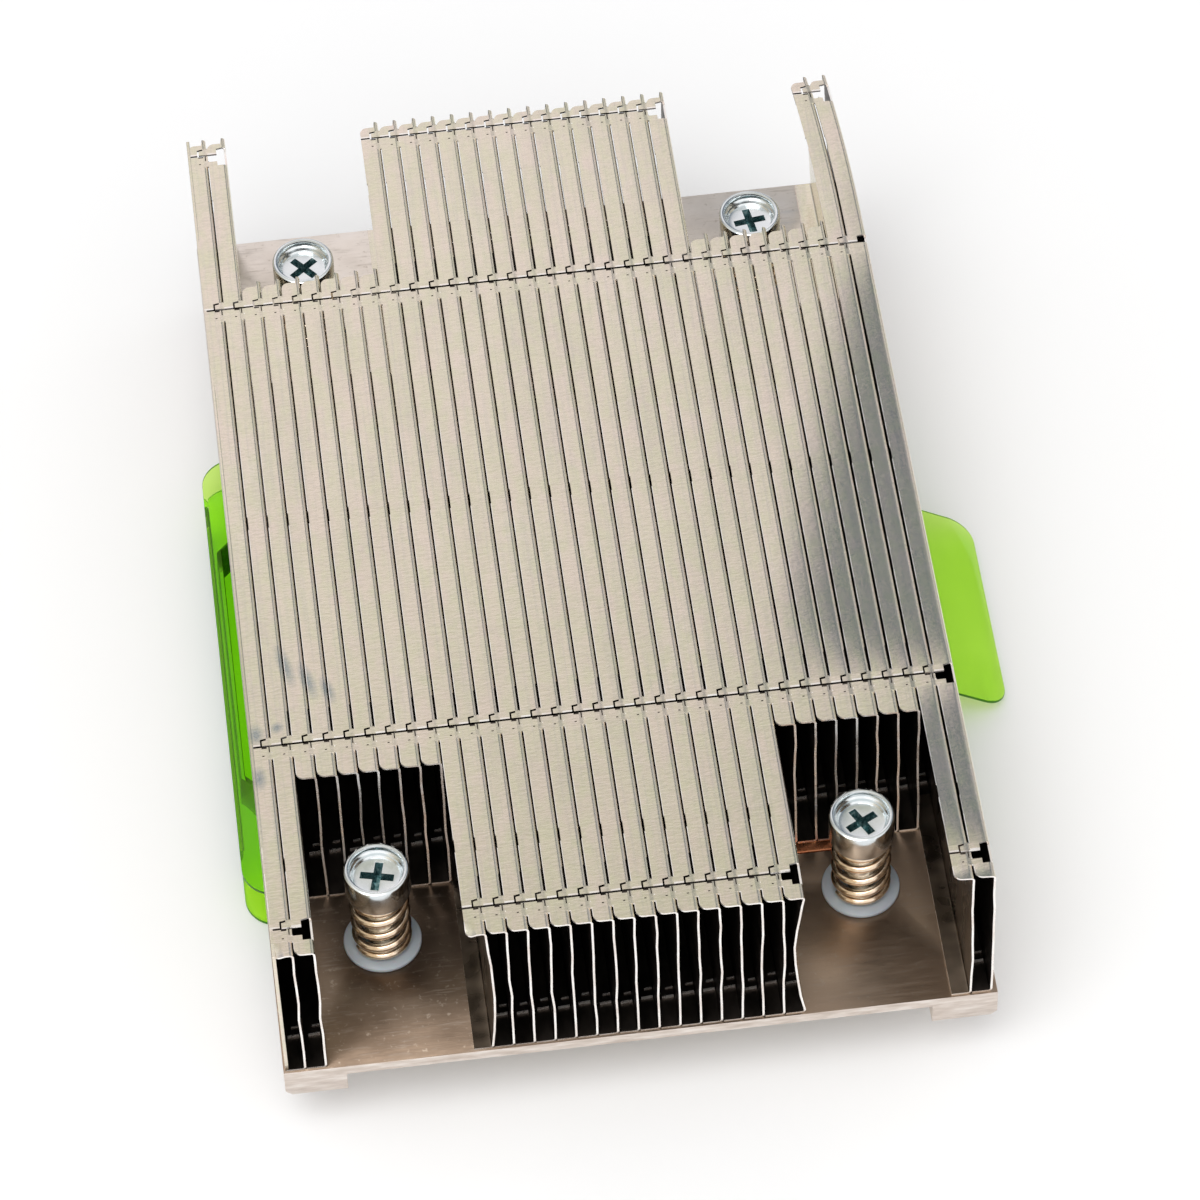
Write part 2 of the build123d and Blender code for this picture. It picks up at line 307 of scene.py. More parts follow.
def ring_material():
    """Dark spring steel."""
    made, tree, shader = material("ring_steel")
    haze = stretched_noise(tree, 900.0, (1.0, 1.0, 1.0), 3.0)
    colour = ramp(tree, haze, ((0.3, (0.24, 0.24, 0.25)), (0.7, (0.42, 0.42, 0.43))))
    tree.links.new(colour, shader.inputs["Base Color"])
    tree.links.new(to_range(tree, haze, 0.3, 0.45), shader.inputs["Roughness"])
    shader.inputs["Metallic"].default_value = 1.0
    return made


def washer_material():
    """Translucent white plastic that takes a blue tint from what is round it."""
    made, tree, shader = material("white_plastic")
    cloud = stretched_noise(tree, 300.0, (1.0, 1.0, 1.0), 2.0)
    colour = ramp(tree, cloud, ((0.3, (0.50, 0.56, 0.62)), (0.7, (0.60, 0.66, 0.71))))
    tree.links.new(colour, shader.inputs["Base Color"])
    shader.inputs["Roughness"].default_value = 0.35
    shader.inputs["Transmission Weight"].default_value = 0.25
    shader.inputs["Subsurface Weight"].default_value = 0.2
    shader.inputs["Subsurface Scale"].default_value = 0.001
    return made


def cover_material():
    """Clear lime film, deeper where several layers or an edge are seen through."""
    made, tree, shader = material("green_film")
    cloud = stretched_noise(tree, 60.0, (1.0, 1.0, 1.0), 3.0)
    facing = node(tree, "ShaderNodeLayerWeight", Blend=0.35)
    flat = ramp(tree, cloud, ((0.3, (0.65, 0.86, 0.17)), (0.7, (0.72, 0.91, 0.24))))
    deep = to_range(tree, facing.outputs["Facing"], 0.0, 1.0, 0.55, 0.95)
    tree.links.new(mixed(tree, deep, flat, (0.10, 0.32, 0.01)), shader.inputs["Base Color"])
    tree.links.new(to_range(tree, cloud, 0.03, 0.08), shader.inputs["Roughness"])
    shader.inputs["IOR"].default_value = 1.25
    shader.inputs["Transmission Weight"].default_value = 1.0
    shader.inputs["Emission Color"].default_value = (0.22, 0.62, 0.02, 1.0)
    shader.inputs["Emission Strength"].default_value = 0.11
    return made


def rim_material():
    """The film's cut edges and upright walls, where light runs a long way through the green."""
    made, tree, shader = material("green_rim")
    cloud = stretched_noise(tree, 200.0, (1.0, 1.0, 1.0), 3.0)
    colour = ramp(tree, cloud, ((0.3, (0.035, 0.14, 0.008)), (0.7, (0.07, 0.24, 0.012))))
    tree.links.new(colour, shader.inputs["Base Color"])
    tree.links.new(to_range(tree, cloud, 0.1, 0.2), shader.inputs["Roughness"])
    shader.inputs["IOR"].default_value = 1.25
    shader.inputs["Transmission Weight"].default_value = 0.6
    return made


def recess_material():
    """The punched driver recess, darker and bluer than the head."""
    made, tree, shader = material("zinc_recess")
    haze = stretched_noise(tree, 1800.0, (1.0, 1.0, 1.0), 3.0)
    colour = ramp(tree, haze, ((0.35, (0.06, 0.15, 0.16)), (0.55, (0.16, 0.30, 0.31)), (0.7, (0.60, 0.72, 0.72))))
    tree.links.new(colour, shader.inputs["Base Color"])
    tree.links.new(to_range(tree, haze, 0.2, 0.4), shader.inputs["Roughness"])
    shader.inputs["Metallic"].default_value = 0.8
    return made


def mesh_piece(name, vertices, faces, finish, smooth=True):
    """A mesh object from points in millimetres."""
    mesh = bpy.data.meshes.new(name)
    mesh.from_pydata([(x * MM, y * MM, z * MM) for x, y, z in vertices], [], faces)
    mesh.validate()
    mesh.update()
    mesh.materials.append(finish)
    made = bpy.data.objects.new(name, mesh)
    bpy.context.scene.collection.objects.link(made)
    if smooth:
        for polygon in mesh.polygons:
            polygon.use_smooth = True
    return made


def sharpen(piece, angle=35.0):
    """Smooth shading that keeps edges steeper than the angle sharp."""
    mesh = piece.data
    work = bmesh.new()
    work.from_mesh(mesh)
    limit = math.radians(angle)
    for edge in work.edges:
        if len(edge.link_faces) == 2:
            edge.smooth = edge.calc_face_angle(0.0) < limit
        else:
            edge.smooth = False
    work.to_mesh(mesh)
    work.free()
    return piece


def with_breaks(start, end, step, breaks):
    """Values from start to end no further apart than step, through every break in between."""
    stops = sorted({start, end} | {b for b in breaks if start < b < end})
    values = [stops[0]]
    for low, high in zip(stops, stops[1:]):
        parts = max(1, math.ceil((high - low) / step))
        values += [low + (high - low) * k / parts for k in range(1, parts + 1)]
    return values


# The section of a fin: points from the tongue's end over the top, down the web and along the foot
FOLD = 0.46
FOLD_STEPS = 5
ARM_REACH = 1.0
LAP_REACH = 0.5
STROKE = (-0.30, -0.16)
LAP_FRONT = -1.35
LAP_LIFT = 0.03
LAP_REAR = 1.65
CRACK = (0.38, 0.64)
ARM_REAR = 1.24
ARM_SLANT = 0.24
WINDOW_REACH = 1.2
STEM_HALF = 0.58
WINDOW_FRONT = 1.27
WINDOW_REAR = 1.52
LIP_REAR = 0.88
SMUDGE_FRONT = 0.18
STROKE_FRONT = -0.38
DIMPLE = (-0.92, -0.78)
CORNER_RADIUS = 0.85
SLIT_ROWS = (-50.05, 0.1, 51.3)
SLIT_HALF = 0.95
SLIT_DEPTH = 0.07


def fin_section():
    """(x, z, normal x, normal z, zone) along the folded sheet's outer side; X = 0 is the web's right face."""
    gap_left = -FIN_PITCH + FLANGE_GAP
    root = -FIN_PITCH
    top = []
    for x in (root - ARM_REACH, root - 0.8, root - LAP_REACH, root + STROKE[0], root + STROKE[1], root):
        top.append((x, "tongue"))
    top.append((gap_left, "flange"))
    for x in (gap_left + SLIT_DEPTH, gap_left + 0.35, gap_left + 0.6, gap_left + CORNER_RADIUS, -WINDOW_REACH, -1.1, -0.85,
              -0.6):
        top.append((x, "flange"))
    section = [(x, FIN_TOP, 0.0, 1.0, zone) for x, zone in top]
    for step in range(FOLD_STEPS + 1):
        angle = math.pi / 2 * (1 - step / FOLD_STEPS)
        section.append((-FOLD + FOLD * math.cos(angle), FIN_TOP - FOLD + FOLD * math.sin(angle),
                        math.cos(angle), math.sin(angle), "fold"))
    levels = (0.9, 1.6, 3.5, 6.0, 9.0, 12.0, 15.0, 18.0)
    section += [(0.0, FIN_TOP - level, 1.0, 0.0, "web") for level in levels]
    for step in range(FOLD_STEPS + 1):
        angle = -math.pi / 2 * step / FOLD_STEPS
        section.append((-FOLD + FOLD * math.cos(angle), PLATE_TOP + FOLD + FOLD * math.sin(angle),
                        math.cos(angle), math.sin(angle), "foot_fold"))
    section += [(x, PLATE_TOP, 0.0, -1.0, "foot") for x in (-1.2, gap_left)]
    return section


def ends_of(number):
    """Front and rear end of a fin's top, and how far its foot reaches."""
    short = number in SHORT_FINS
    return (SHORT_ENDS, SHORT_FOOT) if short else (FULL_ENDS, FULL_FOOT)


def rows_of(number):
    """Zipper rows of a fin's own windows."""
    return INNER_ROWS if number in SHORT_FINS else OUTER_ROWS + INNER_ROWS


def tongues_of(number):
    """Rows where a fin hooks into its left neighbour."""
    if number == 1 or number > FIN_COUNT:
        return ()
    return tuple(row for row in rows_of(number) if row in rows_of(number - 1))


def corner_shift(x, zone):
    """How far a flange's rounded corner draws its end back, by the distance from its free edge."""
    inward = x - (-FIN_PITCH + FLANGE_GAP)
    if zone != "flange" or inward >= CORNER_RADIUS:
        return 0.0
    rest = CORNER_RADIUS - inward
    return CORNER_RADIUS - math.sqrt(max(CORNER_RADIUS ** 2 - rest ** 2, 0.0))


def end_at(number, x, z, zone, side):
    """Y of a fin's end at a place on its section; side is -1 at the front and 1 at the rear."""
    (front, rear), foot = ends_of(number)
    top = front if side < 0 else rear
    drop = (FIN_TOP - z) / (FIN_TOP - PLATE_TOP)
    end = top + (side * foot - top) * drop
    if zone in ("flange", "tongue"):
        if side > 0:
            end -= REAR_RELIEF
        end -= side * corner_shift(x, zone)
    return end


def fin_keeps(number, x, zone, y):
    """Whether the sheet is there, away from windows, slits and beside the tongues."""
    rows, hooks = rows_of(number), tongues_of(number)
    gap_left = -FIN_PITCH + FLANGE_GAP
    if zone == "tongue":
        lap = x > -FIN_PITCH - LAP_REACH
        for row in hooks:
            off = y - row
            if CRACK[1] < off < (LAP_REAR if lap else ARM_REAR) or (lap and LAP_FRONT < off < CRACK[0]):
                return True
        return False
    for row in rows:
        off = y - row
        wide = zone == "fold" or (zone == "flange" and x > -WINDOW_REACH)
        torn = number == FIN_COUNT and row == INNER_ROWS[1]
        if row not in tongues_of(number + 1) and not torn:
            if wide and -WINDOW_FRONT < off < WINDOW_REAR:
                return False
            if zone == "flange" and gap_left < x <= -WINDOW_REACH and abs(off) < STEM_HALF:
                return False
        elif wide and CRACK[0] < off < WINDOW_REAR:
            return False
        elif zone == "flange" and CRACK[0] < off < CRACK[1]:
            return False
    if zone == "flange" and x < gap_left + SLIT_DEPTH:
        return all(abs(y - slit) >= SLIT_HALF for slit in SLIT_ROWS)
    return True


def row_finish(number, x, zone, y):
    """Which finish a place near a zipper row has: 2 for a bright lip, 1 for a dark dent, 0 for the rest."""
    for row in rows_of(number):
        off = y - row
        joined = row in tongues_of(number + 1)
        if zone == "flange" and x < -WINDOW_REACH and CRACK[1] < off < LIP_REAR:
            return 2
        if zone == "tongue" and STROKE[0] < x + FIN_PITCH < STROKE[1] and STROKE_FRONT < off < CRACK[0]:
            return 1
        if joined and zone == "flange" and -1.1 < x < -0.3 and SMUDGE_FRONT < off < CRACK[0]:
            return 1
        if joined and zone == "flange" and -1.1 < x < -0.85 and DIMPLE[0] < off < DIMPLE[1]:
            return 1
    if zone == "flange" and x < -FIN_PITCH + FLANGE_GAP + SLIT_DEPTH and y < 12.0 and not near_row(number, y):
        return 2
    return 0


def near_row(number, y):
    """Whether a place along a fin lies in a zipper row."""
    return any(LAP_FRONT < y - row < LAP_REAR for row in rows_of(number))


LEAN_MOST = 0.10
LEAN_FIRST = 25.3
LEAN_FINS = 3.9
LEAN_MIDDLE = -22.0
LEAN_REAR = 8.0
LEAN_FRONT = 14.0


def tilt_of(number, y):
    """Slope of a fin's top across its width: the fins on the right lean a little, less at the rear."""
    away = y - LEAN_MIDDLE
    spread = away / LEAN_REAR if away > 0 else -away / LEAN_FRONT
    lean = LEAN_MOST * min(max((number - LEAN_FIRST - spread) / LEAN_FINS, 0.0), 1.0)
    nearest = min(abs(y - row) for row in rows_of(number))
    lean *= min(max((nearest - 1.7) / 1.6, 0.0), 1.0)
    if number in SHORT_FINS and y < INNER_ROWS[0]:
        lean = 0.0
    return lean + 0.012 * noise.noise(Vector((number * 2.7, y / 30.0, 3.0)))


def dent(number, x, y, z, zone):
    """Bends and damage: a shift in X, Y and Z for a point of a fin."""
    height = (z - PLATE_TOP) / (FIN_TOP - PLATE_TOP)
    sway = noise.noise(Vector((number * 7.3, y / 16.0, height * 1.5)))
    dx = 0.10 * sway * math.sin(math.pi * min(max(height, 0.0), 1.0))
    (front, rear), _ = ends_of(number)
    near_front = max(0.0, 1 - (y - front) / 5.0)
    wiggle = noise.noise(Vector((number * 3.1, 4.0, z / 4.5)))
    dx += 0.28 * wiggle * min(near_front, 1.0) * math.sin(math.pi * min(max(height, 0.0), 1.0))
    dz = 0.03 * noise.noise(Vector((number * 5.7, y / 22.0, 9.0)))
    if zone in ("flange", "tongue"):
        dz -= tilt_of(number, y) * max(x + 0.3, -2.2) + 0.02 * (max(x, -FIN_PITCH) + 1.2) ** 2 / 2.4
    if zone == "tongue":
        dz += LAP_LIFT * min((-FIN_PITCH - x) / LAP_REACH, 1.0)
    if number == 25 and zone in ("web", "fold"):
        dx -= 1.0 * max(0.0, 1 - (y - front) / 8.0) * math.sin(math.pi * min(max(height, 0.0), 1.0))
    if number == 10 and zone in ("web", "fold"):
        dx += 0.5 * max(0.0, 1 - (y - front) / 7.0) * math.sin(math.pi * min(max(height, 0.0), 1.0))
    if number in (1, 10) and zone == "flange":
        dz -= 0.45 * max(0.0, 1 - (y - front) / 1.6) * max(0.0, (-x - 1.0) / 1.4)
    if number >= 33 and y > SHORT_ENDS[1]:
        dx -= 1.0 * ((y - SHORT_ENDS[1]) / (FULL_ENDS[1] - SHORT_ENDS[1])) ** 2 * min(max(height, 0.0), 1.0)
    return dx, 0.0, dz


BESIDE_NOTCH = (2, 25)
OPEN_LEFT = (10, 33)
OPEN_RIGHT = (2, 25, 34)
BOX_FACES = ((0, 1, 2, 3), (7, 6, 5, 4), (0, 4, 5, 1), (1, 5, 6, 2), (2, 6, 7, 3), (3, 7, 4, 0))
NIB = 0.13
NIB_FACES = ((3, 2, 1, 0), (0, 1, 4), (1, 2, 4), (2, 3, 4), (3, 0, 4))
HOOK_LEFT = -2.25
HOOK_RIGHT = -0.4
HOOK_WIDTH = 0.13


def foot_hooks(number, right):
    """Corners of the small raised edges where the feet hook into each other, under the zipper rows."""
    strips = []
    for row in tongues_of(number) or rows_of(number):
        for off, shift, height in ((-0.15, 0.5, 0.38), (1.15, 1.0, 0.2)):
            y = row + off + 0.5 * noise.noise(Vector((number * 1.9, row, 2.0)))
            x0, x1 = right + HOOK_LEFT + shift, right + HOOK_RIGHT
            low, high = PLATE_TOP + SHEET, PLATE_TOP + SHEET + height
            strips.append([(x, yy, z) for z in (low, high)
                           for x, yy in ((x0, y), (x0, y + HOOK_WIDTH), (x1, y + HOOK_WIDTH + 0.1), (x1, y + 0.1))])
    return strips


def make_fin(number, finish):
    """One folded fin as a closed thin sheet; finish is its top, inside and edge material."""
    section = fin_section()
    (front, rear), foot = ends_of(number)
    right = STACK_LEFT + number * FIN_PITCH
    breaks = []
    for row in rows_of(number):
        offsets = (LAP_FRONT, -WINDOW_FRONT, *DIMPLE, -STEM_HALF, STROKE_FRONT, SMUDGE_FRONT, *CRACK, LIP_REAR, ARM_REAR,
                   WINDOW_REAR, LAP_REAR)
        breaks += [row + off for off in offsets]
    for slit in SLIT_ROWS:
        breaks += [slit - SLIT_HALF, slit + SLIT_HALF]
    breaks += [front + 0.3, front + 0.8, front + 1.3, rear - 1.3, rear - 0.8]
    rows = with_breaks(front, rear, 4.0, breaks)
    middle = (front + rear) / 2

    def shaped(column, row_y):
        x, z, nx, nz, zone = section[column]
        side = -1 if row_y < middle else 1
        end = front if side < 0 else rear
        blend = 1 - min(abs(row_y - end) / 1.6, 1.0)
        y = row_y + (end_at(number, x, z, zone, side) - end) * blend
        if zone == "tongue":
            y = row_y
        from_window = x + WINDOW_REACH + (FIN_PITCH if zone == "tongue" else 0.0)
        if zone in ("tongue", "flange", "fold") and 0.0 < from_window <= WINDOW_REACH:
            for row in rows_of(number):
                if ARM_REAR - 0.01 < row_y - row < WINDOW_REAR + 0.01:
                    y += ARM_SLANT * from_window / WINDOW_REACH
        dx, dy, dz = dent(number, x, y, z, zone)
        outer = (right + x + dx, y + dy, z + dz)
        inner = (outer[0] - nx * SHEET, outer[1], outer[2] - nz * SHEET)
        return outer, inner

    kept = {}
    for column in range(len(section) - 1):
        x = (section[column][0] + section[column + 1][0]) / 2
        zone = section[column][4] if section[column][4] == section[column + 1][4] else None
        if zone is None:
            pair = (section[column][4], section[column + 1][4])
            zone = {("tongue", "flange"): "tongue", ("flange", "fold"): "flange", ("fold", "web"): "web",
                    ("web", "foot_fold"): "web", ("foot_fold", "foot"): "foot"}[pair]
        for row in range(len(rows) - 1):
            y = (rows[row] + rows[row + 1]) / 2
            if fin_keeps(number, x, zone, y):
                kept[column, row] = True

    vertices, faces, index = [], [], {}

    def point(column, row, side):
        key = (column, row, side)
        if key not in index:
            outer, inner = shaped(column, rows[row])
            index[key] = len(vertices)
            vertices.append(outer if side == 0 else inner)
        return index[key]

    finishes = []
    top_columns = sum(1 for entry in section if entry[4] in ("tongue", "flange", "fold")) - 1
    for column, row in kept:
        ring = ((column, row), (column + 1, row), (column + 1, row + 1), (column, row + 1))
        faces.append([point(c, r, 0) for c, r in ring])
        faces.append([point(c, r, 1) for c, r in reversed(ring)])
        open_side = number == FIN_COUNT or (number in BESIDE_NOTCH and abs(rows[row]) > SHORT_ENDS[1])
        shown = 0 if column < top_columns or open_side else 1
        if column < top_columns:
            across = (section[column][0] + section[column + 1][0]) / 2
            shown = row_finish(number, across, section[column][4], (rows[row] + rows[row + 1]) / 2)
        beside = number in OPEN_LEFT and abs(rows[row]) > SHORT_ENDS[1] - 1.0
        inner = (0 if rows[row] > 0 else 3) if beside else 1
        finishes += [shown, inner]
        neighbours = (((column, row - 1), ring[0], ring[1]), ((column + 1, row), ring[1], ring[2]),
                      ((column, row + 1), ring[2], ring[3]), ((column - 1, row), ring[3], ring[0]))
        for beside, start, end in neighbours:
            if beside not in kept:
                faces.append([point(*start, 1), point(*end, 1), point(*end, 0), point(*start, 0)])
                hidden = column < top_columns and number not in OPEN_RIGHT and near_row(number, rows[row])
                finishes.append(1 if hidden else 2)
    for row in tongues_of(number):
        x, y = right - FIN_PITCH + 0.06, row - 0.46 + 0.05 * noise.noise(Vector((number * 3.3, row, 1.0)))
        start = len(vertices)
        vertices += [(x - NIB, y - NIB, FIN_TOP - NIB), (x + NIB, y - NIB, FIN_TOP - NIB), (x + NIB, y + NIB, FIN_TOP - NIB),
                     (x - NIB, y + NIB, FIN_TOP - NIB), (x, y, FIN_TOP + NIB)]
        faces += [[start + corner for corner in face] for face in NIB_FACES]
        finishes += [2] * len(NIB_FACES)
    for strip in foot_hooks(number, right):
        start = len(vertices)
        vertices += strip
        faces += [[start + corner for corner in face] for face in BOX_FACES]
        finishes += [2] * len(BOX_FACES)
    piece = mesh_piece(f"folded_fin_{number:02d}", vertices, faces, finish[0])
    for extra in finish[1:]:
        piece.data.materials.append(extra)
    for polygon, index in zip(piece.data.polygons, finishes):
        polygon.material_index = index
    sharpen(piece, 40.0)
    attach(piece, "heatsink")
    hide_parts(f"fin_{number:02d}")
    return piece


def softened(cad_name, new_name, finish, width, body="heatsink", segments=2, angle=30.0):
    """A copy of a CAD node's mesh with its edges rounded, which stands for the node."""
    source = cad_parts[cad_name]
    mesh = source.data.copy()
    mesh.name = new_name
    work = bmesh.new()
    work.from_mesh(mesh)
    bmesh.ops.remove_doubles(work, verts=work.verts, dist=1e-6)
    bmesh.ops.dissolve_limit(work, angle_limit=math.radians(1.0), verts=work.verts, edges=work.edges)
    work.to_mesh(mesh)
    work.free()
    piece = bpy.data.objects.new(new_name, mesh)
    bpy.context.scene.collection.objects.link(piece)
    mesh.materials.clear()
    mesh.materials.append(finish)
    modifier = piece.modifiers.new("edges", "BEVEL")
    modifier.width = width * MM
    modifier.segments = segments
    modifier.limit_method = "ANGLE"
    modifier.angle_limit = math.radians(angle)
    modifier.harden_normals = False
    bake(piece)
    for polygon in piece.data.polygons:
        polygon.use_smooth = True
    sharpen(piece, 38.0)
    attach(piece, body)
    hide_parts(cad_name)
    return piece


def bake(piece):
    """Apply every modifier of a piece to its mesh."""
    bpy.context.view_layer.update()
    graph = bpy.context.evaluated_depsgraph_get()
    made = bpy.data.meshes.new_from_object(piece.evaluated_get(graph))
    piece.modifiers.clear()
    piece.data = made
    return piece


def lathe(profile, steps, centre=(0.0, 0.0)):
    """Vertices and faces of a profile of (radius, z) turned round Z."""
    vertices, faces, rings = [], [], []
    for radius, z in profile:
        if radius < 1e-6:
            rings.append([len(vertices)] * steps)
            vertices.append((centre[0], centre[1], z))
            continue
        ring = []
        for step in range(steps):
            angle = 2 * math.pi * step / steps
            ring.append(len(vertices))
            vertices.append((centre[0] + radius * math.cos(angle), centre[1] + radius * math.sin(angle), z))
        rings.append(ring)
    for low, high in zip(rings, rings[1:]):
        for step in range(steps):
            after = (step + 1) % steps
            face = []
            for corner in (low[step], low[after], high[after], high[step]):
                if corner not in face:
                    face.append(corner)
            if len(face) > 2:
                faces.append(face)
    return vertices, faces


def cross_cutter(x, y, turn, finish):
    """A tapered cross that cuts the driver recess."""
    long_half, short_half, taper = 2.1, 0.52, 0.35
    top, bottom = HEAD_TOP - 1.2, HEAD_TOP - 3.1

    def outline(shrink, z):
        a, b = long_half - shrink, short_half - shrink * 0.35
        corners = [(a, -b), (a, b), (b, b), (b, a), (-b, a), (-b, b), (-a, b), (-a, -b), (-b, -b), (-b, -a), (b, -a),
                   (b, -b)]
        spun = []
        for cx, cy in corners:
            spun.append((x + cx * math.cos(turn) - cy * math.sin(turn), y + cx * math.sin(turn) + cy * math.cos(turn), z))
        return spun

    vertices = outline(taper * 2.4, bottom) + outline(0.0, top)
    count = 12
    faces = [list(reversed(range(count))), list(range(count, 2 * count))]
    for k in range(count):
        after = (k + 1) % count
        faces.append([k, after, count + after, count + k])
    return mesh_piece("cutter", vertices, faces, finish, smooth=False)


def make_screw(place, turn, finish):
    """Spring screw: rolled rim, cupped head, cross recess, shank and thread."""
    x, y = SCREWS[place]
    radius, cup = 3.8, 2.95
    thread_top = SCREW_TIP + 5.0
    profile = [
        (0.0, SCREW_TIP), (1.45, SCREW_TIP), (1.7, SCREW_TIP + 0.25),
        (1.72, thread_top), (2.0, thread_top + 0.25), (2.0, HEAD_BOTTOM - 0.15), (2.15, HEAD_BOTTOM),
        (radius - 0.35, HEAD_BOTTOM), (radius - 0.1, HEAD_BOTTOM + 0.12), (radius, HEAD_BOTTOM + 0.4),
        (radius, HEAD_TOP - 0.30), (radius - 0.05, HEAD_TOP - 0.12), (radius - 0.18, HEAD_TOP - 0.02),
        (radius - 0.38, HEAD_TOP), (radius - 0.58, HEAD_TOP - 0.05), (radius - 0.68, HEAD_TOP - 0.2),
        (radius - 0.72, HEAD_TOP - 0.7), (cup + 0.02, HEAD_TOP - 0.8), (cup - 0.08, HEAD_TOP - 0.9),
        (cup - 0.12, HEAD_TOP - 1.3), (cup - 0.3, HEAD_TOP - 1.48), (cup - 0.7, HEAD_TOP - 1.52),
        (0.9, HEAD_TOP - 1.5), (0.0, HEAD_TOP - 1.5),
    ]
    steps = 64
    vertices, faces = lathe(profile, steps, (x, y))
    screw = mesh_piece(f"spring_screw_{place}", vertices, faces, finish)
    cutter = cross_cutter(x, y, math.radians(turn), RECESS)
    screw.data.materials.append(RECESS)
    cut = screw.modifiers.new("recess", "BOOLEAN")
    cut.object = cutter
    cut.operation = "DIFFERENCE"
    cut.solver = "EXACT"
    bake(screw)
    bpy.data.objects.remove(cutter)
    thread = thread_mesh(x, y, thread_top)
    join_into(screw, thread, finish)
    sharpen(screw, 35.0)
    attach(screw, f"screw_turn_{place}")
    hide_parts(f"screw_{place}")
    return screw


def thread_mesh(x, y, top):
    """A rolled thread as a sleeve round the screw's lower end."""
    pitch, steps, rows_per_turn = 0.7, 40, 8
    low = SCREW_TIP + 0.2
    rows = int((top - low) / pitch * rows_per_turn)
    vertices, faces = [], []
    for row in range(rows + 1):
        z = low + (top - low) * row / rows
        fade = min(1.0, (z - low) / 0.5, (top - z) / 0.4 + 0.02)
        for step in range(steps):
            turn = step / steps
            phase = ((z - low) / pitch - turn) % 1.0
            ridge = 1 - abs(2 * phase - 1)
            radius = 1.69 + 0.30 * ridge * fade
            angle = 2 * math.pi * turn
            vertices.append((x + radius * math.cos(angle), y + radius * math.sin(angle), z))
    for row in range(rows):
        for step in range(steps):
            after = (step + 1) % steps
            a, b = row * steps, (row + 1) * steps
            faces.append([a + step, a + after, b + after, b + step])
    return vertices, faces


def join_into(piece, shape, finish):
    """Add more vertices and faces to a piece's mesh."""
    vertices, faces = shape
    extra = mesh_piece("extra", vertices, faces, finish)
    work = bmesh.new()
    work.from_mesh(piece.data)
    work.from_mesh(extra.data)
    work.to_mesh(piece.data)
    work.free()
    bpy.data.objects.remove(extra)
    for polygon in piece.data.polygons:
        polygon.use_smooth = True


def make_spring(place, finish, start_turn):
    """A coil of round wire between washer and head, its end turns closed."""
    x, y = SCREWS[place]
    wire, outer, turns, closed = 0.5, 3.5, 4.5, 0.8
    low, high = WASHER_TOP + wire, HEAD_BOTTOM - wire
    spans, sides = 32, 12
    total = int(turns * spans)
    vertices, faces = [], []
    for step in range(total + 1):
        turn = step / spans
        ends = min(turn, closed) + max(turn - turns + closed, 0.0)
        free = min(max(turn - closed, 0.0), turns - 2 * closed) / (turns - 2 * closed)
        z = low + ends * 2 * wire * 0.98 + free * (high - low - 2 * closed * 2 * wire * 0.98)
        near_top = max(0.0, (turn - turns + 1.0))
        middle = outer - wire - 0.25 * min(near_top, 1.0)
        angle = 2 * math.pi * turn + start_turn
        tip = min(step, total - step) / 2.0
        thick = wire * min(1.0, 0.80 + 0.20 * tip)
        radial = Vector((math.cos(angle), math.sin(angle), 0.0))
        for side in range(sides):
            around = 2 * math.pi * side / sides
            place_on = radial * (middle + thick * math.cos(around))
            vertices.append((x + place_on.x, y + place_on.y, z + thick * math.sin(around)))
    for step in range(total):
        for side in range(sides):
            after = (side + 1) % sides
            a, b = step * sides, (step + 1) * sides
            faces.append([a + side, b + side, b + after, a + after])
    faces.append(list(range(sides)))
    faces.append(list(reversed(range(total * sides, (total + 1) * sides))))
    spring = mesh_piece(f"coil_{place}", vertices, faces, finish)
    sharpen(spring, 50.0)
    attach(spring, "heatsink")
    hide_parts(f"spring_{place}")
    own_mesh(spring)
    return spring


def make_washers(finish):
    """Four plastic washers with soft edges, one piece for the node that groups them."""
    outer, inner, edge = 4.55, 2.1, 0.15
    profile = [
        (inner, PLATE_TOP + edge), (inner + edge, PLATE_TOP), (outer - edge, PLATE_TOP), (outer, PLATE_TOP + edge),
        (outer, WASHER_TOP - edge), (outer - edge, WASHER_TOP), (inner + edge, WASHER_TOP),
        (inner, WASHER_TOP - edge), (inner, PLATE_TOP + edge),
    ]
    vertices, faces = [], []
    for place in SCREWS.values():
        more, more_faces = lathe(profile, 64, place)
        start = len(vertices)
        vertices += more
        faces += [[start + corner for corner in face] for face in more_faces]
    washers = mesh_piece("plastic_washers", vertices, faces, finish)
    sharpen(washers, 50.0)
    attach(washers, "heatsink")
    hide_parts("spring_washers")
    return washers


def look_at(piece, target, roll=0.0):
    """Aim a camera or light along its -Z at a point."""
    forward = (Vector(target) - piece.location).normalized()
    piece.rotation_euler = (forward.to_track_quat("-Z", "Y").to_matrix() @ Matrix.Rotation(roll, 3, "Z")).to_euler()


def make_camera():
    """The photograph's view."""
    data = bpy.data.cameras.new("camera")
    data.lens = CAMERA_LENS
    data.sensor_width = SENSOR
    data.sensor_fit = "HORIZONTAL"
    data.clip_start = 0.01
    camera = bpy.data.objects.new("camera", data)
    bpy.context.scene.collection.objects.link(camera)
    camera.location = CAMERA_PLACE
    look_at(camera, CAMERA_AIM, math.radians(CAMERA_ROLL))
    bpy.context.scene.camera = camera


def area_light(name, place, target, size, power, colour):
    """A soft rectangular light."""
    data = bpy.data.lights.new(name, "AREA")
    data.shape = "RECTANGLE"
    data.size, data.size_y = size
    data.energy = power
    data.color = colour
    light = bpy.data.objects.new(name, data)
    bpy.context.scene.collection.objects.link(light)
    light.location = place
    look_at(light, target)


